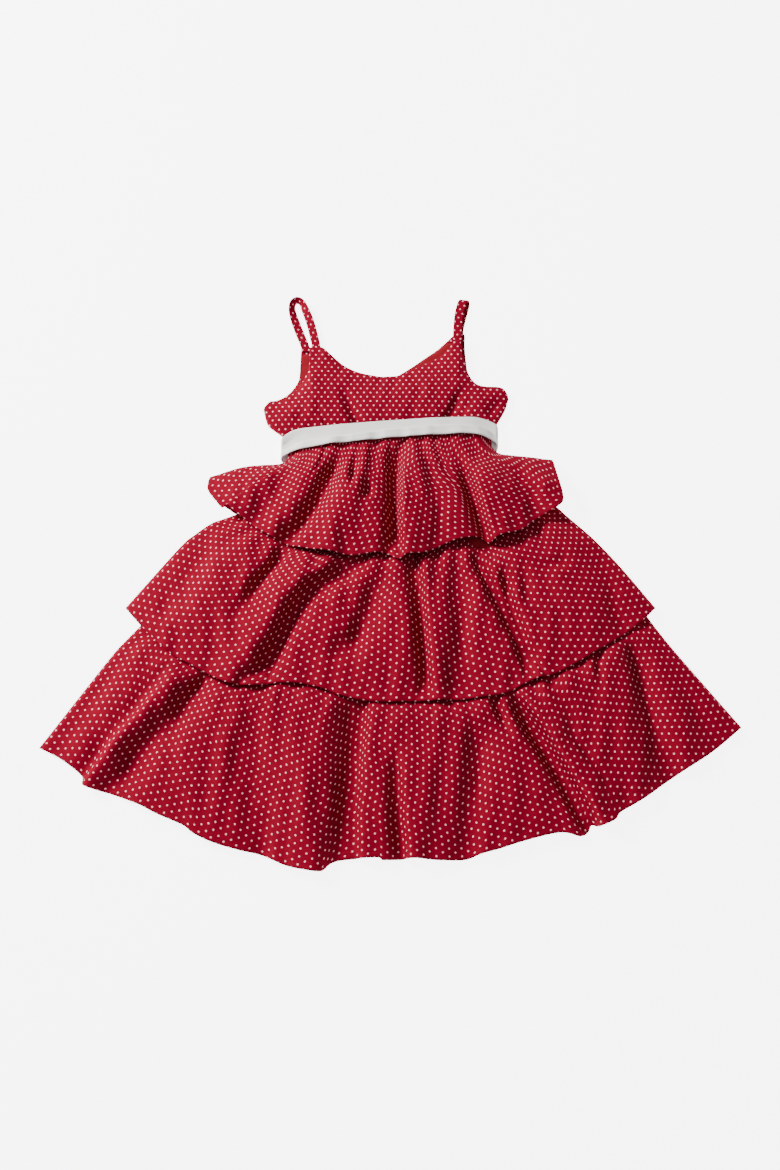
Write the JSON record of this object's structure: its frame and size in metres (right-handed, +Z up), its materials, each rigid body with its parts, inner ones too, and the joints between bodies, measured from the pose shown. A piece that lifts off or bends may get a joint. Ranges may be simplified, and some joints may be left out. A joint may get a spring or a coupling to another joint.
{
  "type": "tiered party dress",
  "caption": "Sleeveless child's dress laid flat: round neck, narrow straps, light belt at the waist and a wide skirt of gathered, dotted tiers.",
  "frame": {"origin": "middle of the dress's box in plan, on the surface that it lies on", "axes": "+X to the picture's right, +Y from hem to straps, +Z up from the surface through the back and then the front"},
  "size_m": [0.78, 0.6754, 0.0367],
  "materials": {
    "dotted_cotton": "matt deep red cotton printed with small off-white dots",
    "plain_cotton": "matt plain deep red cotton",
    "belt_cloth": "smooth off-white cloth with a slight sheen"
  },
  "bodies": {
    "root": {"bodice_front": "dotted_cotton", "bodice_back": "dotted_cotton", "bodice_back_lining": "plain_cotton", "strap_left": "dotted_cotton", "strap_right": "dotted_cotton", "belt": "belt_cloth", "tier_1_front": "dotted_cotton", "tier_1_back": "dotted_cotton", "tier_2_front": "dotted_cotton", "tier_2_back": "dotted_cotton", "tier_3_front": "dotted_cotton", "tier_3_back": "dotted_cotton", "underskirt_front": "plain_cotton", "underskirt_back": "plain_cotton"}
  },
  "joints": []
}
